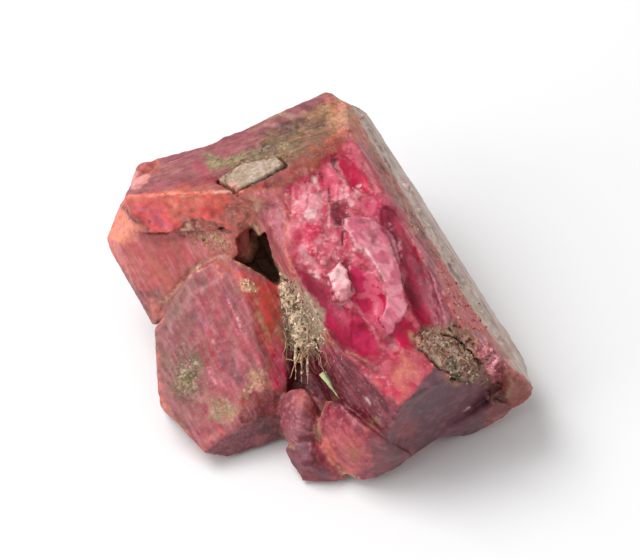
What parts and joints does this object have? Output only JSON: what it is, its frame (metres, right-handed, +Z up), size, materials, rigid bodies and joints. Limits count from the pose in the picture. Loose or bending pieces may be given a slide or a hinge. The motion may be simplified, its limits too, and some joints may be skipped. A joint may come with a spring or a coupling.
{
  "type": "spinel crystal",
  "caption": "Cluster of intergrown pink-red spinel crystals: a thick block with a broken front, a plate, a wedge and a tablet, with thin crusts of other minerals.",
  "frame": {"origin": "under the middle of the cluster, on the plane of its underside", "axes": "+X across the cluster, toward the corner knob; +Y toward its back; +Z up"},
  "size_m": [0.043, 0.0388, 0.023],
  "materials": {
    "spinel": "waxy to glassy, stained orange and olive in places, crimson where it is broken",
    "crust": "matt, fibrous and crumbly",
    "matrix": "matt and granular",
    "lath": "dull, slightly pearly",
    "green_flake": "pearly"
  },
  "bodies": {
    "root": {"spinel_cluster": "spinel", "cleft_crust": "crust", "matrix_patch": "matrix", "pale_lath": "lath", "green_sliver": "green_flake"}
  },
  "joints": []
}
